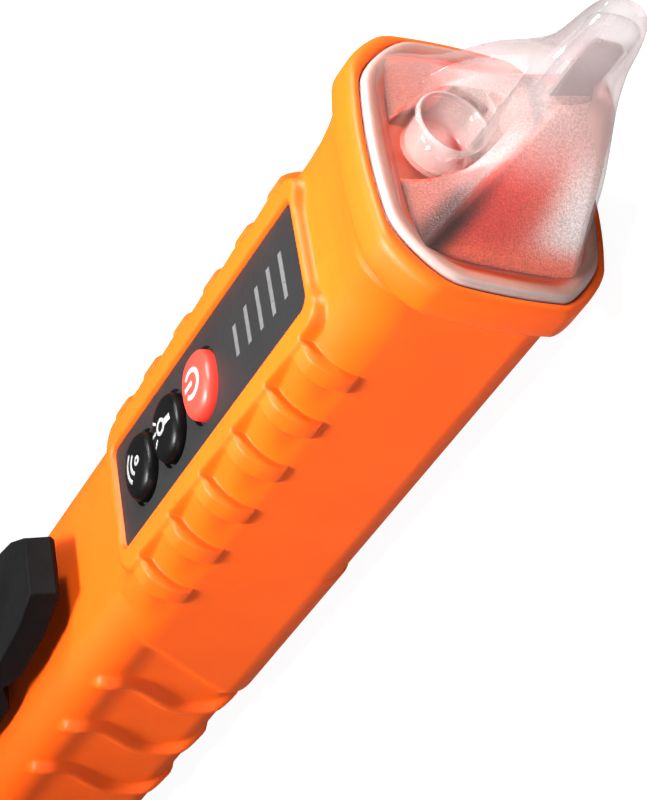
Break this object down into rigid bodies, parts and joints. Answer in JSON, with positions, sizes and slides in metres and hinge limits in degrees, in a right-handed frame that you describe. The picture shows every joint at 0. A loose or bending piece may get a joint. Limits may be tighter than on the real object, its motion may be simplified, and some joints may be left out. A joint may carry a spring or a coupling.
{
  "type": "non contact voltage tester",
  "caption": "Pen style non contact voltage tester with clear sensing nose, torch pocket, button panel, ribbed grip, pocket clip and pull-off battery cap.",
  "frame": {"origin": "centre of the bounding box in plan, on the plane the tester lies on", "axes": "+X along the body towards the sensing nose, +Z out of the control panel, +Y across the body"},
  "size_m": [0.16, 0.025, 0.023],
  "materials": {
    "orange_shell": "satin, fine moulded texture",
    "clear_nose": "clear polycarbonate, frosted inside",
    "sensor_metal": "dark grainy plate",
    "led_epoxy": "clear epoxy",
    "red_led": "red epoxy",
    "label_dark": "satin printed label",
    "light_pipe": "smoked translucent",
    "red_rubber": "satin silicone",
    "black_rubber": "satin silicone",
    "white_plastic": "plain",
    "switch_metal": "plain",
    "board_green": "solder mask",
    "screw_steel": "plain",
    "chip_black": "moulded",
    "dark_plastic": "moulded",
    "contact_metal": "nickel plated spring steel",
    "cell_sleeve": "printed sleeve, plain",
    "cap_plastic": "satin moulded",
    "clip_plastic": "satin moulded"
  },
  "bodies": {
    "body": {"housing": "orange_shell", "nose_lens": "clear_nose", "sensor_plate": "sensor_metal", "torch_led": "led_epoxy", "alarm_led": "red_led", "label_plate": "label_dark", "light_guide": "light_pipe", "bar_led_1": "led_epoxy", "bar_led_2": "led_epoxy", "bar_led_3": "led_epoxy", "bar_led_4": "led_epoxy", "bar_led_5": "led_epoxy", "power_switch": "switch_metal", "torch_switch": "switch_metal", "range_switch": "switch_metal", "main_board": "board_green", "board_screws": "screw_steel", "controller_chip": "chip_black", "buzzer": "chip_black", "board_tray": "dark_plastic", "front_contact": "contact_metal", "battery_tube": "dark_plastic", "battery_front": "cell_sleeve", "battery_rear": "cell_sleeve", "return_strip": "contact_metal"},
    "power_button": {"power_key": "red_rubber", "power_plunger": "white_plastic"},
    "torch_button": {"torch_key": "black_rubber", "torch_plunger": "white_plastic"},
    "range_button": {"range_key": "black_rubber", "range_plunger": "white_plastic"},
    "battery_cap": {"end_cap": "cap_plastic", "cap_contact": "contact_metal"},
    "clip": {"pocket_clip": "clip_plastic"}
  },
  "joints": [
    {"name": "power_press", "type": "slide", "parent": "body", "child": "power_button", "axis": [0, 0, -1], "range_m": [0, 0.0004], "stiffness_N_per_m": 1500},
    {"name": "torch_press", "type": "slide", "parent": "body", "child": "torch_button", "axis": [0, 0, -1], "range_m": [0, 0.0004], "stiffness_N_per_m": 1500},
    {"name": "range_press", "type": "slide", "parent": "body", "child": "range_button", "axis": [0, 0, -1], "range_m": [0, 0.0004], "stiffness_N_per_m": 1500},
    {"name": "cap_pull", "type": "slide", "parent": "body", "child": "battery_cap", "axis": [-1, 0, 0], "range_m": [0, 0.09]},
    {"name": "clip_flex", "type": "hinge", "parent": "battery_cap", "child": "clip", "pos_m": [-0.07, 0, 0.0206], "axis": [0, -1, 0], "range_deg": [0, 4], "stiffness_Nm_per_rad": 8}
  ]
}
